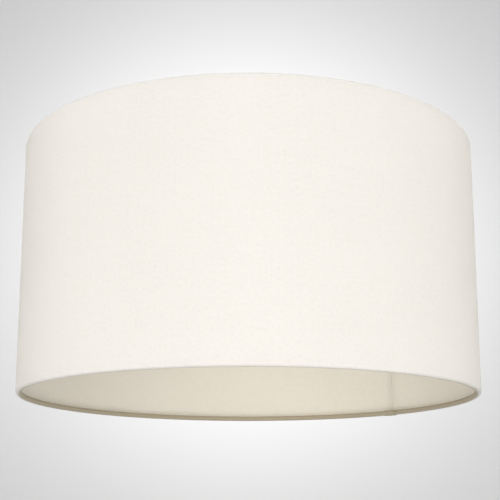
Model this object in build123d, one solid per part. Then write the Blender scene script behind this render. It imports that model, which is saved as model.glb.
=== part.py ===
from build123d import *
import os
from math import degrees

# A cylindrical hardback drum lamp shade. Millimetres and degrees.
# +Z is up and is the axis of the drum. The origin is on the axis, level with the lowest point of the
# bottom edge, which is where the cloth laps over itself.
# Angles about Z are counted from +X towards +Y.

# The drum
shade_diameter = 400.0
shade_height = 220.0

# Cloth, backing and the glue and tape between them
cloth_thickness = 0.45
liner_thickness = 0.4
glue_line = 0.05  # between laminated or wrapped layers
lap_width = 14.0  # how far the cloth laps over its own end
lap_tape_thickness = 0.15
lap_tape_margin = 1.0  # bare cloth each side of the tape
tape_skin = 0.02  # between the tape and the cloth on each side of it
seam_angle = 45.5  # where the under end of the cloth starts
seam_slit = 0.3  # between the under end and the step of the over end
seam_step_width = 1.2  # cloth that climbs on to the under end
liner_gap = 0.3  # between the two ends of the backing, under the lap
full_hem_turn = 165.0  # how far the cloth goes round a wire past the wire's inner side
lap_hem_turn = 60.0  # the same for the lap
snipped_hem_turn = -80.0  # the same where the hem is snipped open for a spoke
snip_clearance = 0.8  # beside a spoke where it leaves the hem

# Wires
ring_wire_diameter = 3.5
spoke_wire_diameter = 3.0
weld_gap = 0.05  # between welded wires
spoke_angles = {"spoke_back": 90.0, "spoke_left": 210.0, "spoke_right": 330.0}
spoke_level_run = 9.0  # level stretch inside the hem before the spoke slopes down
spoke_bend_radius = 9.0
spoke_lap = 3.4  # how far a spoke lies over the fitter ring
spoke_landing = 8.0  # level stretch outside the fitter ring

# Fitter ring
fitter_drop = 30.0  # from the top edge of the drum to the ring's upper face
fitter_hole_diameter = 42.0
fitter_ring_width = 7.5
fitter_thickness = 1.5
fitter_edge_radius = 0.4

# Loose reducer ring
reducer_bore_diameter = 28.5
reducer_flange_overlap = 2.6  # how far the flange reaches past the fitter's hole
reducer_flange_thickness = 1.5
reducer_collar_depth = 3.5
reducer_collar_clearance = 0.15
reducer_seat_gap = 0.05
reducer_edge_radius = 0.4

# Worked out from the sizes above
shade_radius = shade_diameter / 2
wire_radius = ring_wire_diameter / 2
hem_radius = wire_radius + glue_line + cloth_thickness  # of the cloth's outer face round the wire
liner_outer_radius = shade_radius - cloth_thickness - glue_line
liner_inner_radius = liner_outer_radius - liner_thickness
ring_radius = liner_inner_radius - glue_line - hem_radius  # of the wire's own centre circle
lap_rise = lap_tape_thickness + cloth_thickness
bottom_ring_height = hem_radius + lap_rise
top_ring_height = shade_height - hem_radius - lap_rise
lap_angle = degrees(lap_width / shade_radius)
slit_angle = degrees(seam_slit / shade_radius)
step_angle = degrees(seam_step_width / shade_radius)
snip_angle = degrees((spoke_wire_diameter + 2 * snip_clearance) / (ring_radius - hem_radius))
fitter_hole_radius = fitter_hole_diameter / 2
fitter_outer_radius = fitter_hole_radius + fitter_ring_width
fitter_top = shade_height - fitter_drop
spoke_radius = spoke_wire_diameter / 2
reducer_bore_radius = reducer_bore_diameter / 2
reducer_collar_radius = fitter_hole_radius - reducer_collar_clearance
reducer_flange_radius = fitter_hole_radius + reducer_flange_overlap
reducer_seat = fitter_top + reducer_seat_gap


def cloth_edges(rise, bottom_turn, top_turn):
    """The section line of a face of the cloth, from one end to the other.

    rise is how far the line lies outside the cloth's outer face. Each turn is how far the line goes
    round that wire past the wire's inner side, in degrees. It is negative where the line stops short.
    """
    turn_radius = hem_radius + rise
    outside = shade_radius + rise
    corner = shade_radius - hem_radius
    low = bottom_ring_height
    high = top_ring_height
    return [
        CenterArc((ring_radius, low), turn_radius, 180 - bottom_turn, 90 + bottom_turn),
        Line((ring_radius, low - turn_radius), (corner, low - turn_radius)),
        CenterArc((corner, low), turn_radius, 270, 90),
        Line((outside, low), (outside, high)),
        CenterArc((corner, high), turn_radius, 0, 90),
        Line((corner, high + turn_radius), (ring_radius, high + turn_radius)),
        CenterArc((ring_radius, high), turn_radius, 90, 90 + top_turn),
    ]


def cloth_section(outer_rise, inner_rise, bottom_turn, top_turn):
    """The cloth between two of its section lines, in the XZ plane."""
    outer = cloth_edges(outer_rise, bottom_turn, top_turn)
    inner = cloth_edges(inner_rise, bottom_turn, top_turn)
    bottom_end = Line(outer[0] @ 0, inner[0] @ 0)
    top_end = Line(outer[-1] @ 1, inner[-1] @ 1)
    return Plane.XZ * make_face([*outer, *inner, bottom_end, top_end])


def turned(section, start, arc=360.0):
    """A section in the XZ plane turned about the drum's axis, from the angle start."""
    return Rot(0, 0, start) * revolve(section, Axis.Z, revolution_arc=arc)


def box_section(inner, outer, bottom, top, edge_radius=0.0):
    """A rectangle in the XZ plane between two radii and two heights, with rounded corners if asked."""
    section = Pos((inner + outer) / 2, (bottom + top) / 2) * Rectangle(outer - inner, top - bottom)
    if edge_radius:
        section = fillet(section.vertices(), edge_radius)
    return Plane.XZ * section


def fabric_cover():
    """One cloth round the drum, rolled over both wires, with its over end lapped on its under end.

    Its top hem is snipped open where a spoke leaves the wire.
    """
    whole = cloth_section(0, -cloth_thickness, full_hem_turn, full_hem_turn)
    snipped = cloth_section(0, -cloth_thickness, full_hem_turn, snipped_hem_turn)
    climbing = cloth_section(lap_rise, -cloth_thickness, lap_hem_turn, lap_hem_turn)
    lapped = cloth_section(lap_rise, lap_tape_thickness, lap_hem_turn, lap_hem_turn)
    reached = seam_angle + slit_angle
    sectors = [
        turned(climbing, reached, step_angle),
        turned(lapped, seam_angle - lap_angle, lap_angle + slit_angle),
    ]
    for spoke_angle in sorted((angle - reached) % 360 + reached for angle in spoke_angles.values()):
        snip_start = spoke_angle - snip_angle / 2
        sectors.append(turned(whole, reached, snip_start - reached))
        sectors.append(turned(snipped, snip_start, snip_angle))
        reached = snip_start + snip_angle
    sectors.append(turned(whole, reached, seam_angle + 360 - reached))
    return Part() + sectors


def liner_panel():
    """The stiff backing, a single strip whose ends meet under the lap."""
    gap_angle = degrees(liner_gap / shade_radius)
    section = box_section(liner_inner_radius, liner_outer_radius, bottom_ring_height, top_ring_height)
    return turned(section, seam_angle - lap_angle / 2 + gap_angle / 2, 360 - gap_angle)


def seam_tape():
    """The tape between the two layers of the lap, on the straight part of the wall."""
    margin_angle = degrees(lap_tape_margin / shade_radius)
    section = box_section(
        shade_radius + tape_skin,
        shade_radius + lap_tape_thickness - tape_skin,
        bottom_ring_height,
        top_ring_height,
    )
    return turned(section, seam_angle - lap_angle + margin_angle, lap_angle - 2 * margin_angle)


def wire_ring(height, radius=wire_radius):
    """A hoop of round wire inside a hem."""
    return Pos(0, 0, height) * Torus(ring_radius, radius)


def spoke(angle):
    """A wire from the top hoop, level out of the hem, sloping down, then level on the fitter ring."""
    landing_height = fitter_top + weld_gap + spoke_radius
    inside_hem = ring_radius - hem_radius - spoke_level_run
    path = FilletPolyline(
        (ring_radius, 0, top_ring_height),
        (inside_hem, 0, top_ring_height),
        (fitter_outer_radius + spoke_landing, 0, landing_height),
        (fitter_outer_radius - spoke_lap, 0, landing_height),
        radius=spoke_bend_radius,
    )
    start = Plane(origin=path @ 0, z_dir=path % 0)
    wire = sweep(start * Circle(spoke_radius), path=path)
    wire -= wire_ring(top_ring_height, wire_radius + weld_gap)
    inner_end = max(wire.solids(), key=lambda piece: piece.volume)
    return Rot(0, 0, angle) * inner_end


def fitter_ring():
    """The flat pressed ring at the centre."""
    return turned(
        box_section(
            fitter_hole_radius,
            fitter_outer_radius,
            fitter_top - fitter_thickness,
            fitter_top,
            fitter_edge_radius,
        ),
        0,
    )


def reducer_ring():
    """The loose ring: a flange that sits on the fitter ring and a collar that drops into its hole."""
    flange_top = reducer_seat + reducer_flange_thickness
    collar_bottom = reducer_seat - reducer_collar_depth
    outline = [
        (reducer_bore_radius, collar_bottom),
        (reducer_collar_radius, collar_bottom),
        (reducer_collar_radius, reducer_seat),
        (reducer_flange_radius, reducer_seat),
        (reducer_flange_radius, flange_top),
        (reducer_bore_radius, flange_top),
    ]
    section = make_face(Polyline(*outline, close=True))
    outer = [corner for corner in section.vertices() if corner.X > reducer_bore_radius + reducer_edge_radius]
    rounded = [corner for corner in outer if abs(corner.Y - reducer_seat) > reducer_edge_radius]
    section = fillet(rounded, reducer_edge_radius)
    return turned(Plane.XZ * section, 0)


def write_parts():
    parts = {
        "fabric_cover": fabric_cover(),
        "liner_panel": liner_panel(),
        "seam_tape": seam_tape(),
        "bottom_ring": wire_ring(bottom_ring_height),
        "top_ring": wire_ring(top_ring_height),
        "fitter_ring": fitter_ring(),
        "reducer_ring": reducer_ring(),
    }
    for name, angle in spoke_angles.items():
        parts[name] = spoke(angle)
    os.makedirs("parts", exist_ok=True)
    for name, shape in parts.items():
        export_step(shape, f"parts/{name}.step")


write_parts()
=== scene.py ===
import bpy
import math
import mathutils
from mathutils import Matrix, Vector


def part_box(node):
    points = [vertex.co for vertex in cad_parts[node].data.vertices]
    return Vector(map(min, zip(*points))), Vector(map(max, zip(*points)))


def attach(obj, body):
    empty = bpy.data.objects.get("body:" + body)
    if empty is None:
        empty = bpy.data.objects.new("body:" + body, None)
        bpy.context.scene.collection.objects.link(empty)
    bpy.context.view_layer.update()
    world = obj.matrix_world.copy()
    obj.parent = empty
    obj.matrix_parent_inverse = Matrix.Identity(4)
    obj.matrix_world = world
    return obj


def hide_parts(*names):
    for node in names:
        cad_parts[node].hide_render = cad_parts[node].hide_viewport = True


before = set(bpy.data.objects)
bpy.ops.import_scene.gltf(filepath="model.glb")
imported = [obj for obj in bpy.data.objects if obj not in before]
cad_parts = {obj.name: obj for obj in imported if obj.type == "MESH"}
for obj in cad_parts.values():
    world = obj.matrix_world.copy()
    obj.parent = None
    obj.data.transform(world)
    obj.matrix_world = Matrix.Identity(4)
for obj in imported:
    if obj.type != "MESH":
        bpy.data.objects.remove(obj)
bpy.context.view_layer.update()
print("frame loaded:", len(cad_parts), "nodes")


# Sizes read from the frame, in metres

wireLow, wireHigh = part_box("bottom_ring")
wireRadius = (wireHigh[2] - wireLow[2]) / 2
ringRadius = (wireHigh[0] - wireLow[0]) / 2 - wireRadius
lowWireHeight = (wireHigh[2] + wireLow[2]) / 2
topLow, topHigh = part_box("top_ring")
topWireHeight = (topHigh[2] + topLow[2]) / 2
coverLow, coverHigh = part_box("fabric_cover")
drumRadius = (coverHigh[0] - coverLow[0]) / 2
linerLow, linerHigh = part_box("liner_panel")
linerRadius = (linerHigh[0] - linerLow[0]) / 2
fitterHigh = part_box("fitter_ring")[1]
spokeLow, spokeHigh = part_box("spoke_back")
spokeWireRadius = (spokeHigh[0] - spokeLow[0]) / 2
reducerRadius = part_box("reducer_ring")[1][0]


# Helpers for node trees

def startTree(name, sockets):
    tree = bpy.data.node_groups.new(name, "GeometryNodeTree")
    tree.interface.new_socket("Geometry", in_out="INPUT", socket_type="NodeSocketGeometry")
    for socketName, kind, value in sockets:
        made = tree.interface.new_socket(socketName, in_out="INPUT", socket_type=kind)
        if value is not None:
            made.default_value = value
    tree.interface.new_socket("Geometry", in_out="OUTPUT", socket_type="NodeSocketGeometry")
    groupIn = tree.nodes.new("NodeGroupInput")
    groupOut = tree.nodes.new("NodeGroupOutput")
    return tree, groupIn.outputs, groupOut.inputs


def feed(tree, socket, value):
    if isinstance(value, bpy.types.NodeSocket):
        tree.links.new(value, socket)
    else:
        socket.default_value = value


def node(tree, kind, values=None, **settings):
    made = tree.nodes.new(kind)
    for key, value in settings.items():
        setattr(made, key, value)
    for key, value in (values or {}).items():
        feed(tree, made.inputs[key], value)
    return made


def calc(tree, operation, first, second=None):
    values = {0: first}
    if second is not None:
        values[1] = second
    return node(tree, "ShaderNodeMath", values, operation=operation).outputs[0]


def plus(tree, total, *others):
    for other in others:
        total = calc(tree, "ADD", total, other)
    return total


def minus(tree, first, second):
    return calc(tree, "SUBTRACT", first, second)


def times(tree, total, *others):
    for other in others:
        total = calc(tree, "MULTIPLY", total, other)
    return total


def rangeOf(tree, value, low, high, toLow=0.0, toHigh=1.0, kind="LINEAR"):
    ends = {"From Min": low, "From Max": high, "To Min": toLow, "To Max": toHigh}
    made = node(tree, "ShaderNodeMapRange", {"Value": value, **ends}, interpolation_type=kind)
    return made.outputs["Result"]


def mixOf(tree, kind, factor, first, second, **settings):
    made = node(tree, "ShaderNodeMix", {"Factor": factor}, data_type=kind, **settings)
    sockets = [socket for socket in made.inputs if socket.enabled and socket.name in ("A", "B")]
    feed(tree, sockets[0], first)
    feed(tree, sockets[1], second)
    return [socket for socket in made.outputs if socket.enabled][0]


def partsOf(tree, vector):
    return node(tree, "ShaderNodeSeparateXYZ", {0: vector}).outputs


def lumpsOf(tree, place, scale, seed):
    # soft lumps, as far above zero as below
    values = {"Vector": place, "Scale": scale, "Detail": 2.0, "W": seed}
    noise = node(tree, "ShaderNodeTexNoise", values, noise_dimensions="4D")
    return minus(tree, noise.outputs[0], 0.5)


def pushedOut(tree, geometry, height):
    # each point moves along its own normal
    normal = node(tree, "GeometryNodeInputNormal").outputs[0]
    push = node(tree, "ShaderNodeVectorMath", {0: normal, "Scale": height}, operation="SCALE")
    values = {"Geometry": geometry, "Offset": push.outputs[0]}
    return node(tree, "GeometryNodeSetPosition", values).outputs[0]


def finishTree(tree, out, geometry, material):
    smooth = node(tree, "GeometryNodeSetShadeSmooth", {"Geometry": geometry})
    real = node(tree, "GeometryNodeRealizeInstances", {"Geometry": smooth.outputs[0]})
    values = {"Geometry": real.outputs[0], "Material": material}
    feed(tree, out["Geometry"], node(tree, "GeometryNodeSetMaterial", values).outputs[0])


def runTree(obj, tree, values):
    modifier = obj.modifiers.new(tree.name, "NODES")
    modifier.node_group = tree
    for item in tree.interface.items_tree:
        if item.item_type == "SOCKET" and item.in_out == "INPUT" and item.name in values:
            modifier[item.identifier] = values[item.name]


def asPiece(obj, name):
    # the evaluated result becomes a plain mesh, and the builder object goes
    evaluated = obj.evaluated_get(bpy.context.evaluated_depsgraph_get())
    mesh = bpy.data.meshes.new_from_object(evaluated)
    mesh.name = name
    bpy.data.objects.remove(obj)
    return addObject(name, mesh)


def addObject(name, content):
    obj = bpy.data.objects.new(name, content)
    bpy.context.scene.collection.objects.link(obj)
    return obj


# The cloth and the film are both strips bent round the drum, so one tree turns either section

def quarterTurn(centre, radius, start, stop, steps):
    points = []
    for step in range(steps + 1):
        turn = math.radians(start + (stop - start) * step / steps)
        points.append((centre[0] + radius * math.cos(turn), centre[1] + radius * math.sin(turn)))
    return points


def straightSection(radius, steps):
    rise = (topWireHeight - lowWireHeight) / steps
    return [(radius, lowWireHeight + rise * step) for step in range(steps + 1)]


def sectionLength(points):
    return sum(math.dist(a, b) for a, b in zip(points, points[1:]))


def sectionCurve(name, sections):
    # one poly spline for each section, in the XZ plane
    curve = bpy.data.curves.new(name, "CURVE")
    curve.dimensions = "3D"
    for points in sections:
        spline = curve.splines.new("POLY")
        spline.points.add(len(points) - 1)
        for place, (radius, height) in zip(spline.points, points):
            place.co = (radius, 0.0, height, 1.0)
    return addObject(name, curve)


def columnTravels(marks, columnStep, leastColumns):
    # angles travelled from the strip's start, close together between marks that lie close
    travels = [marks[0]]
    for start, stop in zip(marks, marks[1:]):
        steps = max(leastColumns, math.ceil((stop - start) / math.radians(columnStep)))
        travels += [start + (stop - start) * step / steps for step in range(1, steps + 1)]
    return [(travel, 0.0) for travel in travels]


def stripTree():
    tree, given, out = startTree("strip round the drum", [
        ("Rows", "NodeSocketInt", 10),
        ("Columns", "NodeSocketInt", 100),
        ("Start Angle", "NodeSocketFloat", 0.0),
        ("Climb Start", "NodeSocketFloat", 100.0),
        ("Climb End", "NodeSocketFloat", 101.0),
        ("Drum Radius", "NodeSocketFloat", 0.2),
        ("Section Length", "NodeSocketFloat", 0.2),
        ("Spokes", "NodeSocketInt", 3),
        ("First Spoke", "NodeSocketFloat", 0.0),
        ("Snip Width", "NodeSocketFloat", 0.0),
        ("Snip Depth", "NodeSocketFloat", 0.0),
        ("Waviness", "NodeSocketFloat", 0.0),
        ("Hem Waviness", "NodeSocketFloat", 0.0),
        ("Hem Reach", "NodeSocketFloat", 0.016),
        ("Wave Scale", "NodeSocketFloat", 62.0),
        ("Seed", "NodeSocketFloat", 3.0),
        ("Material", "NodeSocketMaterial", None),
    ])

    def sampled(kind, field, index):
        values = {"Geometry": given["Geometry"], "Value": field, "Index": index}
        found = node(tree, "GeometryNodeSampleIndex", values, data_type=kind, domain="POINT")
        return found.outputs[0]

    def gridNumber(part, count):
        # a grid point's column or row, counted from its place on a grid of side 1
        return calc(tree, "ROUND", times(tree, plus(tree, part, 0.5), minus(tree, count, 1.0)))

    counts = {"Vertices X": given["Columns"], "Vertices Y": given["Rows"]}
    grid = node(tree, "GeometryNodeMeshGrid", {"Size X": 1.0, "Size Y": 1.0, **counts})
    place = node(tree, "GeometryNodeInputPosition").outputs[0]
    gridParts = partsOf(tree, place)
    column = gridNumber(gridParts["X"], given["Columns"])
    row = gridNumber(gridParts["Y"], given["Rows"])

    # the first spline is the plain section and the second the lapped one,
    # and the third holds how far each column has travelled
    bothSections = times(tree, given["Rows"], 2.0)
    columnPlace = sampled("FLOAT_VECTOR", place, plus(tree, bothSections, column))
    travel = partsOf(tree, columnPlace)["X"]
    climb = rangeOf(tree, travel, given["Climb Start"], given["Climb End"], kind="SMOOTHSTEP")
    plain = sampled("FLOAT_VECTOR", place, row)
    lapped = sampled("FLOAT_VECTOR", place, plus(tree, row, given["Rows"]))
    section = mixOf(tree, "VECTOR", climb, plain, lapped)
    turn = {"Vector": section, "Angle": minus(tree, given["Start Angle"], travel)}
    bent = node(tree, "ShaderNodeVectorRotate", turn, rotation_type="Z_AXIS").outputs[0]

    # the strip's own flat coordinates, in metres, are kept on its corners
    along = sampled("FLOAT", node(tree, "GeometryNodeSplineParameter").outputs["Length"], row)
    around = times(tree, travel, given["Drum Radius"])
    flatPlace = node(tree, "ShaderNodeCombineXYZ", {"X": around, "Y": along}).outputs[0]
    keep = {"Geometry": grid.outputs["Mesh"], "Name": "UVMap", "Value": flatPlace}
    kept = node(tree, "GeometryNodeStoreNamedAttribute", keep, data_type="FLOAT2", domain="CORNER")
    shape = {"Geometry": kept.outputs[0], "Position": bent}
    shaped = node(tree, "GeometryNodeSetPosition", shape).outputs[0]

    # the top hem is snipped open where a spoke leaves the hoop
    read = {"Name": "UVMap"}
    stored = node(tree, "GeometryNodeInputNamedAttribute", read, data_type="FLOAT_VECTOR")
    flatParts = partsOf(tree, stored.outputs[0])
    faceTravel = calc(tree, "DIVIDE", flatParts["X"], given["Drum Radius"])
    faceAngle = minus(tree, given["Start Angle"], faceTravel)
    apartBy = calc(tree, "DIVIDE", 2 * math.pi, given["Spokes"])
    halfway = calc(tree, "DIVIDE", apartBy, 2.0)
    shifted = plus(tree, minus(tree, faceAngle, given["First Spoke"]), halfway)
    fromSpoke = minus(tree, calc(tree, "FLOORED_MODULO", shifted, apartBy), halfway)
    halfSnip = calc(tree, "DIVIDE", given["Snip Width"], 2.0)
    inWidth = calc(tree, "LESS_THAN", calc(tree, "ABSOLUTE", fromSpoke), halfSnip)
    snipStart = minus(tree, given["Section Length"], given["Snip Depth"])
    inDepth = calc(tree, "GREATER_THAN", flatParts["Y"], snipStart)
    snip = {"Geometry": shaped, "Selection": times(tree, inWidth, inDepth)}
    snipped = node(tree, "GeometryNodeDeleteGeometry", snip, domain="FACE").outputs[0]

    # a hem rolled by hand is never quite even
    fromOtherEdge = minus(tree, given["Section Length"], flatParts["Y"])
    fromEdge = calc(tree, "MINIMUM", flatParts["Y"], fromOtherEdge)
    swings = (given["Hem Waviness"], given["Waviness"])
    swing = rangeOf(tree, fromEdge, 0.0, given["Hem Reach"], *swings, "SMOOTHSTEP")
    waves = times(tree, lumpsOf(tree, place, given["Wave Scale"], given["Seed"]), swing)
    uneven = pushedOut(tree, snipped, waves)
    outward = node(tree, "GeometryNodeFlipFaces", {"Mesh": uneven}).outputs[0]
    finishTree(tree, out, outward, given["Material"])
    return tree


# Helpers for materials

def startMaterial(name):
    material = bpy.data.materials.new(name)
    material.use_nodes = True
    tree = material.node_tree
    return material, tree, tree.nodes["Principled BSDF"], tree.nodes["Material Output"]


def setShader(tree, shader, values):
    for key, value in values.items():
        feed(tree, shader.inputs[key], value)


def noiseOf(tree, vector, scale, detail=2.0, roughness=0.5):
    values = {"Vector": vector, "Scale": scale, "Detail": detail, "Roughness": roughness}
    return node(tree, "ShaderNodeTexNoise", values).outputs[0]


noiseSpread = (0.3, 0.7)  # most of a noise lies between these


def spreadOf(tree, noise, low, high):
    return rangeOf(tree, noise, *noiseSpread, low, high)


def stretched(tree, vector, scale):
    values = {0: vector, 1: scale}
    return node(tree, "ShaderNodeVectorMath", values, operation="MULTIPLY").outputs[0]


def bumpOf(tree, height, distance, under=None):
    bump = node(tree, "ShaderNodeBump", {"Strength": 1.0, "Distance": distance, "Height": height})
    if under is not None:
        feed(tree, bump.inputs["Normal"], under)
    return bump.outputs[0]


def letLightThrough(tree, shader, output, colour, share, normal):
    # part of the light goes through a thin sheet
    through = node(tree, "ShaderNodeBsdfTranslucent", {"Color": colour, "Normal": normal})
    shaders = {0: share, 1: shader.outputs[0], 2: through.outputs[0]}
    feed(tree, output.inputs["Surface"], node(tree, "ShaderNodeMixShader", shaders).outputs[0])


clothLook = {
    "colour": (0.91, 0.885, 0.855, 1.0),
    "shadeColour": (0.77, 0.735, 0.69, 1.0),
    "nepColour": (0.50, 0.42, 0.33, 1.0),
    "throughColour": (0.91, 0.89, 0.84, 1.0),
    "through": 0.45,
    "gluedThrough": 0.96,  # glue makes the covered end clearer
    "climbThrough": 0.56,  # glue squeezed out where the cloth climbs on to its other end
    "glueFade": 0.0004,
    "hemThrough": 0.10,
    "hemPaintedShade": (0.44, 0.395, 0.30, 1.0),  # painted shade on the turned-in side of the roll
    "hemStart": 0.0115,  # from the cut edge to the lowest point of the roll
    "hemFade": 0.0022,
    "threadPitch": 0.00052,
    "uprightWander": 0.10,  # how fast a thread changes from one crossing to the next
    "levelWander": 0.11,
    "levelSeed": 7.0,
    "slubRange": (0.52, 0.74),  # of the noise that thickens a level thread
    "thickRange": (0.58, 0.78),  # of the noise that thickens an upright one
    "slubHeight": 0.9,
    "thickHeight": 0.35,
    "fuzz": 5200.0,  # this and the next three are pattern scales, for each metre
    "clouds": 26.0,
    "mottle": 420.0,
    "neps": 150.0,
    "levelShade": 0.10,  # this and the next six take the colour towards its shade
    "uprightShade": 0.08,
    "slubShade": 0.50,
    "thickShade": 0.32,
    "cloudShade": 0.20,
    "mottleShade": 1.55,
    "gapPaintedShade": 0.30,  # painted shade between threads
    "gapReach": 0.55,
    "nepSize": (0.05, 0.09),
    "nepRarity": 0.965,
    "nepShade": 0.6,
    "fuzzRange": (0.2, 0.8),
    "roughness": (0.84, 0.96),
    "weaveDepth": 0.00012,
    "slubDepth": 0.0001,
    "fuzzDepth": 0.00003,
    "finish": {"Specular IOR Level": 0.25, "Sheen Weight": 0.12, "Sheen Roughness": 0.45},
}


def makeCloth(width, length, lap, climbStop):
    # plain weave with slubs, on the cloth's own flat coordinates in metres
    look = clothLook
    material, tree, shader, output = startMaterial("slubbed cotton cloth")
    flat = node(tree, "ShaderNodeUVMap", uv_map="UVMap").outputs[0]
    flatParts = partsOf(tree, flat)
    counts = partsOf(tree, stretched(tree, flat, (1 / look["threadPitch"],) * 2 + (0.0,)))
    ends, picks = counts["X"], counts["Y"]
    upright = calc(tree, "FLOOR", ends)
    level = calc(tree, "FLOOR", picks)

    # where glue changes how much light the cloth lets through, and where the roll's turned-in side
    # gets painted shade
    fade = look["glueFade"]
    glued = rangeOf(tree, flatParts["X"], lap - fade, lap + fade, 1.0, 0.0)
    fromOverEnd = minus(tree, length, flatParts["X"])
    climbing = rangeOf(tree, fromOverEnd, climbStop, climbStop + fade, 1.0, 0.0)
    fromEdge = calc(tree, "MINIMUM", flatParts["Y"], minus(tree, width, flatParts["Y"]))
    hemRange = (look["hemStart"] - look["hemFade"], look["hemStart"])
    hem = rangeOf(tree, fromEdge, *hemRange, 1.0, 0.0, "SMOOTHSTEP")

    # each thread wanders and thickens a little along its length
    uprightPlace = {0: upright, 1: times(tree, picks, look["uprightWander"])}
    levelPlace = {0: times(tree, ends, look["levelWander"]), 1: level, 2: look["levelSeed"]}

    def wander(place):
        return noiseOf(tree, node(tree, "ShaderNodeCombineXYZ", place).outputs[0], 1.0)

    slub = rangeOf(tree, wander(levelPlace), *look["slubRange"], kind="SMOOTHSTEP")
    uprightThick = rangeOf(tree, wander(uprightPlace), *look["thickRange"], kind="SMOOTHSTEP")
    levelBulk = times(tree, slub, look["slubHeight"])
    bundle = plus(tree, levelBulk, times(tree, uprightThick, look["thickHeight"]))

    # rounded threads that pass over and under each other
    def thread(count):
        across = minus(tree, times(tree, calc(tree, "FRACT", count), 2.0), 1.0)
        return minus(tree, 1.0, times(tree, across, across))

    over = calc(tree, "FLOORED_MODULO", plus(tree, upright, level), 2.0)
    weave = mixOf(tree, "FLOAT", over, thread(ends), thread(picks))
    fuzz = noiseOf(tree, flat, look["fuzz"], 2.0, 0.6)

    # colour: each thread's own tint, slubs, soft clouds, painted shade between the threads and a
    # few dark neps
    def tintOf(number):
        noise = node(tree, "ShaderNodeTexWhiteNoise", {"W": number}, noise_dimensions="1D")
        return noise.outputs[0]

    clouds = minus(tree, noiseOf(tree, flat, look["clouds"], 3.0, 0.55), 0.5)
    mottle = minus(tree, noiseOf(tree, flat, look["mottle"], 3.0, 0.65), 0.5)
    shade = plus(
        tree,
        times(tree, tintOf(level), look["levelShade"]),
        times(tree, tintOf(plus(tree, upright, 0.5)), look["uprightShade"]),
        times(tree, slub, look["slubShade"]),
        times(tree, uprightThick, look["thickShade"]),
        times(tree, clouds, look["cloudShade"]),
        times(tree, mottle, look["mottleShade"]),
        # painted shade where the weave dips between threads
        rangeOf(tree, weave, 0.0, look["gapReach"], look["gapPaintedShade"], 0.0),
    )
    colour = mixOf(tree, "RGBA", shade, look["colour"], look["shadeColour"])
    cells = {"Vector": flat, "Scale": look["neps"], "Randomness": 1.0}
    speck = node(tree, "ShaderNodeTexVoronoi", cells)
    near = rangeOf(tree, speck.outputs["Distance"], *look["nepSize"], 1.0, 0.0)
    chance = node(tree, "ShaderNodeSeparateColor", {0: speck.outputs["Color"]}).outputs[0]
    rare = calc(tree, "GREATER_THAN", chance, look["nepRarity"])
    nep = times(tree, near, rare, look["nepShade"])
    colour = mixOf(tree, "RGBA", nep, colour, look["nepColour"])
    # painted shade: the roll's turned-in side, from the cut edge to its lowest point, is darkened
    hemShaded = mixOf(tree, "RGBA", 1.0, colour, look["hemPaintedShade"], blend_type="MULTIPLY")
    colour = mixOf(tree, "RGBA", hem, colour, hemShaded)

    raised = bumpOf(tree, weave, look["weaveDepth"])
    raised = bumpOf(tree, bundle, look["slubDepth"], raised)
    raised = bumpOf(tree, fuzz, look["fuzzDepth"], raised)
    roughness = rangeOf(tree, fuzz, *look["fuzzRange"], *look["roughness"])
    surface = {"Base Color": colour, "Roughness": roughness, "Normal": raised}
    setShader(tree, shader, {**surface, **look["finish"]})
    share = mixOf(tree, "FLOAT", climbing, look["through"], look["climbThrough"])
    share = mixOf(tree, "FLOAT", glued, share, look["gluedThrough"])
    share = mixOf(tree, "FLOAT", hem, share, look["hemThrough"])
    letLightThrough(tree, shader, output, look["throughColour"], share, raised)
    return material


filmLook = {
    "colour": (0.85, 0.84, 0.81, 1.0),
    "mottledColour": (0.78, 0.765, 0.725, 1.0),
    "throughColour": (0.92, 0.888, 0.815, 1.0),
    "through": 0.5,
    "grain": 1500.0,  # this and the next three are pattern scales, for each metre
    "pebbles": 900.0,
    "clouds": 30.0,
    "blotches": 240.0,
    "grainShade": 0.5,
    "cloudShade": 0.3,
    "blotchShade": 2.2,
    "shadeOffset": 1.25,
    "roughness": (0.52, 0.68),
    "pebbleDepth": 0.00004,
    "grainDepth": 0.00003,
    "finish": {"Specular IOR Level": 0.3},
}


def makeFilm():
    # matt embossed film with the cloth's weave faintly behind it
    look = filmLook
    material, tree, shader, output = startMaterial("embossed lining film")
    flat = node(tree, "ShaderNodeUVMap", uv_map="UVMap").outputs[0]
    grain = noiseOf(tree, flat, look["grain"], 3.0, 0.6)
    cells = {"Vector": flat, "Scale": look["pebbles"]}
    pebble = node(tree, "ShaderNodeTexVoronoi", cells).outputs["Distance"]
    clouds = times(tree, noiseOf(tree, flat, look["clouds"], 3.0, 0.5), look["cloudShade"])
    blotches = times(tree, noiseOf(tree, flat, look["blotches"], 3.0, 0.6), look["blotchShade"])
    soft = minus(tree, plus(tree, clouds, blotches), look["shadeOffset"])
    mottle = plus(tree, spreadOf(tree, grain, 0.0, look["grainShade"]), soft)
    colour = mixOf(tree, "RGBA", mottle, look["colour"], look["mottledColour"])
    raised = bumpOf(tree, pebble, look["pebbleDepth"])
    raised = bumpOf(tree, grain, look["grainDepth"], raised)
    roughness = spreadOf(tree, grain, *look["roughness"])
    surface = {"Base Color": colour, "Roughness": roughness, "Normal": raised}
    setShader(tree, shader, {**surface, **look["finish"]})
    letLightThrough(tree, shader, output, look["throughColour"], look["through"], raised)
    return material


tapeLook = {
    "colour": (0.78, 0.70, 0.52, 1.0),
    "fibreColour": (0.60, 0.50, 0.33, 1.0),
    "throughColour": (0.96, 0.94, 0.88, 1.0),
    "through": 0.9,
    "fibres": (900.0, 900.0, 160.0),  # scale along each axis, so that they stand upright
    "patches": 120.0,
    "fibreShade": 0.7,
    "patchShade": 0.4,
    "roughness": (0.35, 0.55),
    "fibreDepth": 0.00003,
}


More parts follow.
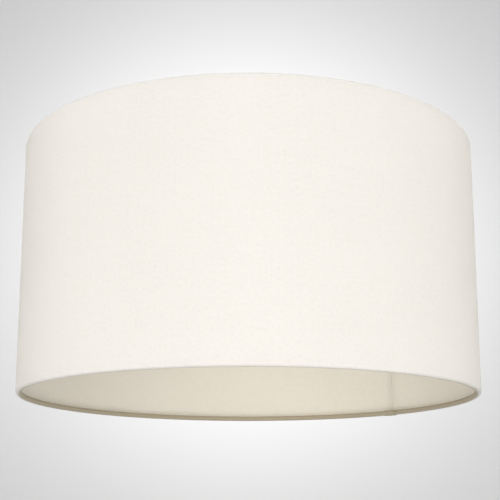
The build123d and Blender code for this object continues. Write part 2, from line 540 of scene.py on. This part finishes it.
def makeTape():
    # thin tissue tape with long fibres in its glue
    look = tapeLook
    material, tree, shader, output = startMaterial("tissue tape")
    place = node(tree, "ShaderNodeTexCoord").outputs["Object"]
    fibres = noiseOf(tree, stretched(tree, place, look["fibres"]), 1.0, 4.0, 0.65)
    patches = noiseOf(tree, place, look["patches"])
    fibreShade = times(tree, fibres, look["fibreShade"])
    shade = plus(tree, fibreShade, times(tree, patches, look["patchShade"]))
    colour = mixOf(tree, "RGBA", shade, look["colour"], look["fibreColour"])
    raised = bumpOf(tree, fibres, look["fibreDepth"])
    roughness = spreadOf(tree, fibres, *look["roughness"])
    setShader(tree, shader, {"Base Color": colour, "Roughness": roughness, "Normal": raised})
    letLightThrough(tree, shader, output, look["throughColour"], look["through"], raised)
    return material


steelLook = {
    "coat": (0.78, 0.775, 0.755, 1.0),
    "grimyCoat": (0.62, 0.60, 0.56, 1.0),
    "bare": (0.30, 0.29, 0.275, 1.0),
    "marks": 140.0,
    "flakes": 900.0,
    "chipRange": (0.70, 0.72),  # of the flakes' noise
    "wornRim": (0.00050, 0.00056),  # bare this near a rim
    "rimUnevenness": 0.0012,
    "grimeRange": (0.45, 0.75),  # of the marks' noise
    "grime": 0.5,
    "smoother": 0.06,  # how far the marks change the coat's roughness
    "rougher": 0.10,
    "bareRoughness": 0.38,
    "peelDepth": 0.000018,
    "chipDepth": 0.00003,
    "finish": {"Coat Weight": 0.15, "Coat Roughness": 0.25},
}


def makeCoatedSteel(name, orangePeel, coatRoughness, wornRims):
    # baked powder coat with orange peel, handling marks and a few chips down to the steel
    look = steelLook
    material, tree, shader, output = startMaterial(name)
    place = node(tree, "ShaderNodeTexCoord").outputs["Object"]
    parts = partsOf(tree, place)
    squares = [times(tree, parts[axis], parts[axis]) for axis in ("X", "Y")]
    outFromAxis = calc(tree, "SQRT", plus(tree, *squares))
    peel = noiseOf(tree, place, orangePeel)
    marks = noiseOf(tree, place, look["marks"], 4.0, 0.6)
    flakes = noiseOf(tree, place, look["flakes"], 3.0, 0.6)
    chips = rangeOf(tree, flakes, *look["chipRange"])
    for radius in wornRims:
        fromRim = calc(tree, "ABSOLUTE", minus(tree, outFromAxis, radius))
        unevenly = plus(tree, fromRim, times(tree, flakes, look["rimUnevenness"]))
        chips = calc(tree, "MAXIMUM", chips, rangeOf(tree, unevenly, *look["wornRim"], 1.0, 0.0))
    grime = times(tree, rangeOf(tree, marks, *look["grimeRange"]), look["grime"])
    colour = mixOf(tree, "RGBA", grime, look["coat"], look["grimyCoat"])
    colour = mixOf(tree, "RGBA", chips, colour, look["bare"])
    coated = (coatRoughness - look["smoother"], coatRoughness + look["rougher"])
    roughness = mixOf(tree, "FLOAT", chips, spreadOf(tree, marks, *coated), look["bareRoughness"])
    raised = bumpOf(tree, peel, look["peelDepth"])
    raised = bumpOf(tree, minus(tree, 1.0, chips), look["chipDepth"], raised)
    surface = {"Base Color": colour, "Metallic": chips, "Roughness": roughness, "Normal": raised}
    setShader(tree, shader, {**surface, **look["finish"]})
    return material


reducerLook = {
    "colour": (0.80, 0.775, 0.71, 1.0),
    "paleColour": (0.86, 0.84, 0.79, 1.0),
    "scuffColour": (0.92, 0.91, 0.88, 1.0),
    "flow": 70.0,
    "grain": 3400.0,
    "scuffs": (500.0, 500.0, 2600.0),  # scale along each axis, so that they lie level
    "flowRange": (0.35, 0.65),
    "scuffRange": (0.62, 0.72),
    "scuffShade": 0.35,
    "roughness": (0.36, 0.52),
    "ridges": 48,  # faint marks left by the mould's cutter
    "grainDepth": 0.000008,
    "ridgeDepth": 0.000006,
    "finish": {"Subsurface Weight": 0.12, "Subsurface Scale": 0.002, "IOR": 1.49},
}


def makeMouldedPlastic():
    # moulded plastic: fine spark-eroded grain, flow shades and scuffs
    look = reducerLook
    material, tree, shader, output = startMaterial("moulded ivory plastic")
    place = node(tree, "ShaderNodeTexCoord").outputs["Object"]
    parts = partsOf(tree, place)
    around = calc(tree, "ARCTAN2", parts["Y"], parts["X"])
    ridge = calc(tree, "SINE", times(tree, around, look["ridges"]))
    flow = rangeOf(tree, noiseOf(tree, place, look["flow"], 3.0, 0.5), *look["flowRange"])
    grain = noiseOf(tree, place, look["grain"], 2.0, 0.6)
    scuffs = noiseOf(tree, stretched(tree, place, look["scuffs"]), 1.0, 3.0, 0.6)
    scuffed = rangeOf(tree, scuffs, *look["scuffRange"], 0.0, look["scuffShade"])
    colour = mixOf(tree, "RGBA", flow, look["colour"], look["paleColour"])
    colour = mixOf(tree, "RGBA", scuffed, colour, look["scuffColour"])
    raised = bumpOf(tree, grain, look["grainDepth"])
    raised = bumpOf(tree, ridge, look["ridgeDepth"], raised)
    roughness = spreadOf(tree, grain, *look["roughness"])
    surface = {"Base Color": colour, "Roughness": roughness, "Normal": raised}
    setShader(tree, shader, {**surface, **look["finish"]})
    return material


fittings = {
    "wirePeel": 1600.0,  # orange peel of the coat, for each metre
    "wireRoughness": 0.36,
    "pressingPeel": 1100.0,
    "pressingRoughness": 0.40,
    "flangeOverlap": 0.0026,  # how far the loose ring's flange reaches past the hole under it
}

filmMaterial = makeFilm()
tapeMaterial = makeTape()
wireMaterial = makeCoatedSteel(
    "white coated wire", fittings["wirePeel"], fittings["wireRoughness"], ())
rims = (fitterHigh[0], reducerRadius - fittings["flangeOverlap"])
fitterMaterial = makeCoatedSteel(
    "white coated pressing", fittings["pressingPeel"], fittings["pressingRoughness"], rims)
reducerMaterial = makeMouldedPlastic()
paints = {
    "seam_tape": tapeMaterial,
    "bottom_ring": wireMaterial,
    "top_ring": wireMaterial,
    "spoke_back": wireMaterial,
    "spoke_left": wireMaterial,
    "spoke_right": wireMaterial,
    "fitter_ring": fitterMaterial,
    "reducer_ring": reducerMaterial,
}
for nodeName, paint in paints.items():
    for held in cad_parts[nodeName].material_slots:
        held.material = paint
print("materials made:", len(bpy.data.materials))


# The cloth, rolled over both hoops and lapped on its own end. Sizes are in metres

seam = {
    "angle": 45.5,  # degrees from +X towards +Y, where the under end starts
    "slit": 0.0003,
    "climb": 0.0012,  # cloth that climbs on to the under end
    "lap": 0.014,
    "rise": 0.0006,
}

cover = {
    "thickness": 0.00045,
    "glueLine": 0.00005,
    "fullTurn": 165.0,  # degrees round the wire past its inner side
    "lapTurn": 60.0,
    "snipTurn": -80.0,
    "snipClearance": 0.0008,  # beside a spoke
    "arcPoints": 9,  # for each quarter turn
    "wallPoints": 26,
    "columnStep": 1.15,  # degrees
    "leastColumns": 8,  # in any short stretch
    "waviness": 0.00007,
    "hemWaviness": 0.00022,
    "hemReach": 0.016,  # from the cut edge to where the wall's own waviness takes over
    "waveScale": 62.0,
    "seed": 3.0,
    "sharpAngle": 50.0,  # degrees, for the cut edges
}

spokes = {
    "count": 3,
    "first": 90.0,  # degrees from +X towards +Y
}

strip = stripTree()
seamAngle = math.radians(seam["angle"])
lapAngle = seam["lap"] / drumRadius
climbEnd = 2 * math.pi - seam["slit"] / drumRadius
climbStart = climbEnd - seam["climb"] / drumRadius
climbStop = seam["lap"] + seam["slit"] + seam["climb"]  # from the over end
clothTurns = 2 * math.pi + lapAngle
spokeGap = 2 * math.pi / spokes["count"]
rollRadius = wireRadius + cover["glueLine"] + cover["thickness"]
hemInside = ringRadius - wireRadius - cover["thickness"]
snipWidth = 2 * (spokeWireRadius + cover["snipClearance"]) / hemInside


def hemSection(rise, turnPast):
    # the outer face of the cloth from one tucked end, over the wall, to the other
    radius = rollRadius + rise
    corner = drumRadius - rollRadius
    steps = cover["arcPoints"]
    low = (ringRadius, lowWireHeight)
    half = quarterTurn(low, radius, 180 - turnPast, 180, 2 * steps)
    half += quarterTurn(low, radius, 180, 270, steps)[1:]
    half += quarterTurn((corner, lowWireHeight), radius, 270, 360, steps)
    middle = (lowWireHeight + topWireHeight) / 2
    top = [(place[0], 2 * middle - place[1]) for place in reversed(half)]
    wall = straightSection(drumRadius + rise, cover["wallPoints"])
    return half + wall[1:-1] + top


coverSection = hemSection(0.0, cover["fullTurn"])
clothSize = (sectionLength(coverSection), clothTurns * drumRadius)
clothMaterial = makeCloth(*clothSize, seam["lap"], climbStop)


def thicken(builder, name, thickness):
    # the strip becomes plain, gets its thickness inwards, and keeps crisp cut edges
    sheet = asPiece(builder, name + "_sheet")
    wall = sheet.modifiers.new("wall thickness", "SOLIDIFY")
    wall.thickness = thickness
    wall.offset = -1.0
    wall.use_rim = True
    piece = asPiece(sheet, name)
    piece.data.set_sharp_from_angle(angle=math.radians(cover["sharpAngle"]))
    return piece


def makeCover():
    lapped = hemSection(seam["rise"], cover["lapTurn"])
    marks = [0.0, climbStart, climbEnd, clothTurns]
    for number in range(spokes["count"]):
        fromSeam = seamAngle - math.radians(spokes["first"]) - number * spokeGap
        middle = fromSeam % (2 * math.pi)
        marks += [middle - snipWidth / 2, middle + snipWidth / 2]
    columns = columnTravels(sorted(marks), cover["columnStep"], cover["leastColumns"])
    builder = sectionCurve("cover sections", [coverSection, lapped, columns])
    runTree(builder, strip, {
        "Rows": len(coverSection),
        "Columns": len(columns),
        "Start Angle": seamAngle,
        "Climb Start": climbStart,
        "Climb End": climbEnd,
        "Drum Radius": drumRadius,
        "Section Length": clothSize[0],
        "Spokes": spokes["count"],
        "First Spoke": math.radians(spokes["first"]),
        "Snip Width": snipWidth,
        "Snip Depth": rollRadius * math.radians(cover["fullTurn"] - cover["snipTurn"]),
        "Waviness": cover["waviness"],
        "Hem Waviness": cover["hemWaviness"],
        "Hem Reach": cover["hemReach"],
        "Wave Scale": cover["waveScale"],
        "Seed": cover["seed"],
        "Material": clothMaterial,
    })
    return thicken(builder, "cloth_cover", cover["thickness"])


clothCover = makeCover()
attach(clothCover, "shade")
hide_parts("fabric_cover")


# The lining film, whose ends meet under the lap

liner = {
    "thickness": 0.0004,
    "wallPoints": 40,
    "columnStep": 1.5,  # degrees
    "gap": 0.0003,
    "waviness": 0.00005,
    "waveScale": 62.0,
    "seed": 8.0,
}


def makeLining():
    straight = straightSection(linerRadius, liner["wallPoints"])
    gapAngle = liner["gap"] / drumRadius
    marks = [0.0, 2 * math.pi - gapAngle]
    columns = columnTravels(marks, liner["columnStep"], cover["leastColumns"])
    builder = sectionCurve("lining sections", [straight, straight, columns])
    runTree(builder, strip, {
        "Rows": len(straight),
        "Columns": len(columns),
        "Start Angle": seamAngle - lapAngle / 2 - gapAngle / 2,
        "Drum Radius": linerRadius,
        "Section Length": sectionLength(straight),
        "Waviness": liner["waviness"],
        "Hem Waviness": liner["waviness"],
        "Wave Scale": liner["waveScale"],
        "Seed": liner["seed"],
        "Material": filmMaterial,
    })
    return thicken(builder, "lining_film", liner["thickness"])


liningFilm = makeLining()
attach(liningFilm, "shade")
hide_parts("liner_panel")
cutTo = [round(side, 4) for side in clothSize]
print("cloth cut to", cutTo, "faces", len(clothCover.data.polygons))
print("lining fitted, faces", len(liningFilm.data.polygons))


# Weld beads where the spokes meet the top hoop and the fitter ring

welds = {
    "hoopBead": 0.0016,  # radius
    "hoopInset": 0.0006,  # from the hoop's inner side
    "hoopAside": 0.72,  # of the spoke's radius
    "fitterBead": 0.0015,
    "fitterInset": 0.0016,  # from the ring's outer edge
    "fitterLift": 0.0004,
    "fitterAside": 0.85,
    "flatten": 0.62,
    "roughness": 0.00035,
    "lumpScale": 700.0,
    "fineness": 4,  # subdivisions of each ball
    "seed": 5.0,
}


def beadTree():
    tree, given, out = startTree("weld beads", [
        ("Bead Radius", "NodeSocketFloat", 0.0015),
        ("Flatten", "NodeSocketFloat", 0.6),
        ("Roughness", "NodeSocketFloat", 0.0003),
        ("Lump Scale", "NodeSocketFloat", 700.0),
        ("Fineness", "NodeSocketInt", 4),
        ("Seed", "NodeSocketFloat", 5.0),
        ("Material", "NodeSocketMaterial", None),
    ])
    sizes = {"Radius": given["Bead Radius"], "Subdivisions": given["Fineness"]}
    ball = node(tree, "GeometryNodeMeshIcoSphere", sizes)
    flatter = node(tree, "ShaderNodeCombineXYZ", {0: 1.0, 1: 1.0, 2: given["Flatten"]})
    shape = {"Instance": ball.outputs[0], "Scale": flatter.outputs[0]}
    placed = node(tree, "GeometryNodeInstanceOnPoints", {"Points": given["Geometry"], **shape})
    real = node(tree, "GeometryNodeRealizeInstances", {"Geometry": placed.outputs[0]})
    place = node(tree, "GeometryNodeInputPosition").outputs[0]
    lumps = lumpsOf(tree, place, given["Lump Scale"], given["Seed"])
    lumpy = pushedOut(tree, real.outputs[0], times(tree, lumps, given["Roughness"], 2.0))
    finishTree(tree, out, lumpy, given["Material"])
    return tree


def makeBeads(name, tree, sites, beadRadius):
    mesh = bpy.data.meshes.new(name)
    mesh.from_pydata(sites, [], [])
    builder = addObject(name, mesh)
    runTree(builder, tree, {
        "Bead Radius": beadRadius,
        "Flatten": welds["flatten"],
        "Roughness": welds["roughness"],
        "Lump Scale": welds["lumpScale"],
        "Fineness": welds["fineness"],
        "Seed": welds["seed"],
        "Material": wireMaterial,
    })
    piece = asPiece(builder, name)
    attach(piece, "shade")


def spokeSites(radius, height, aside):
    # a pair of points beside each spoke
    sites = []
    for number in range(spokes["count"]):
        turn = math.radians(spokes["first"]) + number * spokeGap
        for side in (-aside, aside):
            sites.append((
                radius * math.cos(turn) - side * math.sin(turn),
                radius * math.sin(turn) + side * math.cos(turn),
                height,
            ))
    return sites


beads = beadTree()
hoopSide = ringRadius - wireRadius - welds["hoopInset"]
hoopSites = spokeSites(hoopSide, topWireHeight, spokeWireRadius * welds["hoopAside"])
makeBeads("weld_beads_hoop", beads, hoopSites, welds["hoopBead"])
spokeEnd = fitterHigh[0] - welds["fitterInset"]
beadHeight = fitterHigh[2] + welds["fitterLift"]
fitterSites = spokeSites(spokeEnd, beadHeight, spokeWireRadius * welds["fitterAside"])
makeBeads("weld_beads_fitter", beads, fitterSites, welds["fitterBead"])
print("weld beads:", len(hoopSites) + len(fitterSites))


# Floor, backdrop, lights and camera

studio = {
    "floorHeight": -1.6,
    "wallDistance": 2.6,
    "wallTop": 3.2,
    "sweepRadius": 0.5,
    "sweepSteps": 16,
    "halfWidth": 4.0,
    "frontReach": 3.0,
    "spotAngle": 104.0,
    "ambient": (0.684, 0.684, 0.684, 1.0),
    "paper": (0.63, 0.63, 0.63, 1.0),
    "greyPaper": (0.592, 0.592, 0.592, 1.0),
    "paperGrain": 900.0,
    "paperRoughness": 0.9,
}


def makePaper():
    # pale paper with a faint grain
    material, tree, shader, output = startMaterial("pale studio paper")
    place = node(tree, "ShaderNodeTexCoord").outputs["Object"]
    grain = noiseOf(tree, place, studio["paperGrain"])
    colour = mixOf(tree, "RGBA", grain, studio["paper"], studio["greyPaper"])
    setShader(tree, shader, {"Base Color": colour, "Roughness": studio["paperRoughness"]})
    return material


def makeStage():
    # floor, cove and wall in one bent sheet
    floor = studio["floorHeight"]
    radius = studio["sweepRadius"]
    wall = studio["wallDistance"]
    cove = quarterTurn((0.0, floor + radius), radius, 270, 360, studio["sweepSteps"])
    line = [(-studio["frontReach"], floor)]
    line += [(wall - radius + y, z) for y, z in cove]
    line.append((wall, studio["wallTop"]))
    mesh = bpy.data.meshes.new("studio_sweep")
    corners = [(side * studio["halfWidth"], y, z) for side in (-1, 1) for y, z in line]
    count = len(line)
    faces = [(row, row + count, row + count + 1, row + 1) for row in range(count - 1)]
    mesh.from_pydata(corners, [], faces)
    mesh.polygons.foreach_set("use_smooth", [True] * len(faces))
    mesh.materials.append(makePaper())
    addObject("studio_sweep", mesh)


def addLight(name, kind, place, aim, watts, size, colour=(1.0, 1.0, 1.0)):
    lamp = bpy.data.lights.new(name, kind)
    lamp.energy = watts
    lamp.color = colour
    if kind == "AREA":
        lamp.shape = "RECTANGLE"
        lamp.size, lamp.size_y = size
    else:
        lamp.shadow_soft_size = size
    if kind == "SPOT":
        lamp.spot_size = math.radians(studio["spotAngle"])
        lamp.spot_blend = 1.0
    light = addObject(name, lamp)
    light.location = place
    way = mathutils.Vector(aim) - mathutils.Vector(place)
    light.rotation_euler = way.to_track_quat("-Z", "Y").to_euler()
    light.visible_camera = False


makeStage()
lights = {  # kind, place, what it is aimed at, watts, size in metres and any colour
    "frontSoftbox": ("AREA", (0.0, -2.3, 0.5), (0, 0, 0.11), 37.7, (1.4, 0.9)),
    "leftSoftbox": ("AREA", (-2.0, -0.75, 0.3), (0, 0, 0.11), 16.8, (0.9, 0.9)),
    "rightSoftbox": ("AREA", (2.0, -0.75, 0.3), (0, 0, 0.11), 18.2, (0.9, 0.9)),
    "underLight": ("AREA", (0.0, -0.5, -0.65), (0, 0.1, 0.1), 3.2, (0.9, 0.6)),
    "backLight": ("AREA", (0.25, 1.3, 0.11), (0.03, 0.2, 0.11), 10.5, (0.7, 0.25)),
    "wallSpot": ("SPOT", (0.0, 1.3, 0.85), (0, 2.6, 0.85), 63.4, 0.1),
    "innerGlow": ("POINT", (0.010, 0.068, 0.03), (0, 0, 0), 0.345, 0.03, (1.0, 0.93, 0.80)),
}
for lightName, lightValues in lights.items():
    addLight(lightName, *lightValues)
print("lights placed:", len(lights))

world = bpy.data.worlds.new("studio air")
world.use_nodes = True
world.node_tree.nodes["Background"].inputs["Color"].default_value = studio["ambient"]
bpy.context.scene.world = world
bpy.context.scene.view_settings.view_transform = "Standard"

view = {
    "place": (0.0, -0.9412, -0.1086),
    "pitch": 11.89,  # degrees above level
    "lens": 77.5,
    "sensorWidth": 36.0,
    "shift": (0.0032, 0.10),
}
lens = bpy.data.cameras.new("camera")
lens.lens = view["lens"]
lens.sensor_width = view["sensorWidth"]
lens.shift_x, lens.shift_y = view["shift"]
camera = addObject("camera", lens)
camera.location = view["place"]
camera.rotation_euler = (math.radians(90 + view["pitch"]), 0.0, 0.0)
bpy.context.scene.camera = camera
print("studio ready")
